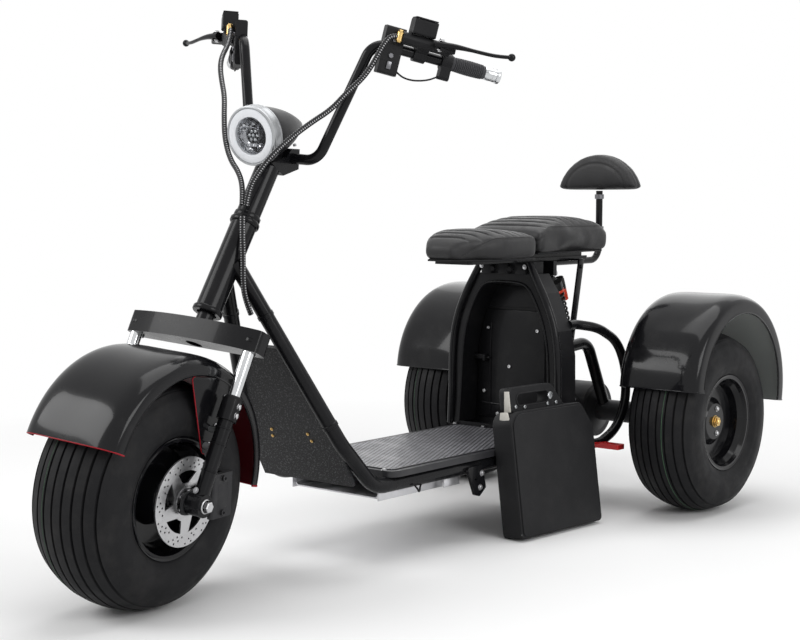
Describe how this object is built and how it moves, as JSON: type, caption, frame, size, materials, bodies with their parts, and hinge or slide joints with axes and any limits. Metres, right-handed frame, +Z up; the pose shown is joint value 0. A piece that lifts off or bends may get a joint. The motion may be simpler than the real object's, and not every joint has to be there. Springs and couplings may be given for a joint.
{
  "type": "three-wheeled electric scooter",
  "caption": "Electric scooter on fat tyres with a raked fork, high handlebar, low deck, saddles with a backrest and a removed battery leaning on the seat tower.",
  "frame": {"origin": "on the ground under the middle of the overall box", "axes": "+Z up, forwards is -Y, the rider's left is +X"},
  "size_m": [0.94, 2.0159, 1.1951],
  "materials": {
    "frame_black": "semi-gloss black enamel",
    "leg_shield": "dark speckled grey",
    "deck_black": "raised dots, black",
    "tower_black": "satin black",
    "plastic_black": "moulded black",
    "leather": "stitched dark leather",
    "motor_metal": "dark grey",
    "shock_black": "black with red bands",
    "gloss_black": "gloss black with dark red edges and undersides",
    "red_metal": "red anodised",
    "tray_grey": "bare sheet",
    "hose": "braided black and white",
    "chrome": "bright chrome",
    "brake_steel": "ground and drilled",
    "grip_grey": "ribbed rubber",
    "lens_glass": "clear",
    "tyre": "ribbed dark rubber",
    "rim_black": "gloss black"
  },
  "bodies": {
    "chassis": {"head_tube": "frame_black", "frame_tubes": "frame_black", "leg_shield": "leg_shield", "deck": "deck_black", "seat_tower": "tower_black", "seat_mount": "plastic_black", "seat_plate": "frame_black", "front_saddle": "leather", "rear_saddle": "leather", "backrest_pad": "leather", "backrest_post": "frame_black", "axle_housing": "motor_metal", "motor": "motor_metal", "cross_bars": "frame_black", "swing_arms": "frame_black", "shocks": "shock_black", "side_hoops": "frame_black", "fender_stays": "frame_black", "rear_fender_left": "gloss_black", "rear_fender_right": "gloss_black", "foot_pegs": "red_metal", "under_tray": "tray_grey", "stand_brackets": "frame_black", "battery_case": "plastic_black", "hoses_lower": "hose"},
    "steering": {"steering_stem": "frame_black", "fork_bridge": "frame_black", "stanchions": "chrome", "fork_collars": "frame_black", "fork_legs": "frame_black", "front_axle": "brake_steel", "front_fender": "gloss_black", "fender_spacers": "chrome", "bar_clamp": "frame_black", "handlebar": "chrome", "grips": "grip_grey", "throttle_housings": "plastic_black", "brake_masters": "plastic_black", "fluid_reservoirs": "plastic_black", "switch_boxes": "plastic_black", "brake_levers": "chrome", "headlight_mount": "frame_black", "headlight_bowl": "gloss_black", "headlight_bezel": "chrome", "headlight_lens": "lens_glass", "brake_caliper": "motor_metal", "hoses_upper": "hose"},
    "front_wheel": {"front_tyre": "tyre", "front_rim": "rim_black", "brake_disc": "brake_steel"},
    "rear_wheel_left": {"rear_tyre_left": "tyre", "rear_rim_left": "rim_black"},
    "rear_wheel_right": {"rear_tyre_right": "tyre", "rear_rim_right": "rim_black"}
  },
  "joints": [
    {"name": "steering_turn", "type": "hinge", "parent": "chassis", "child": "steering", "pos_m": [0, -0.608, 0.562], "axis": [0, 0.515, 0.8572], "range_deg": [-47.5, 28.5]},
    {"name": "front_wheel_spin", "type": "hinge", "parent": "steering", "child": "front_wheel", "pos_m": [-0.00378, -0.78227, 0.22816], "axis": [0.9863, 0.1415, -0.085], "continuous": true},
    {"name": "rear_wheel_left_spin", "type": "hinge", "parent": "chassis", "child": "rear_wheel_left", "pos_m": [0.36, 0.734, 0.228], "axis": [1, 0, 0], "continuous": true},
    {"name": "rear_wheel_right_spin", "type": "hinge", "parent": "chassis", "child": "rear_wheel_right", "pos_m": [-0.36, 0.734, 0.228], "axis": [1, 0, 0], "continuous": true}
  ]
}
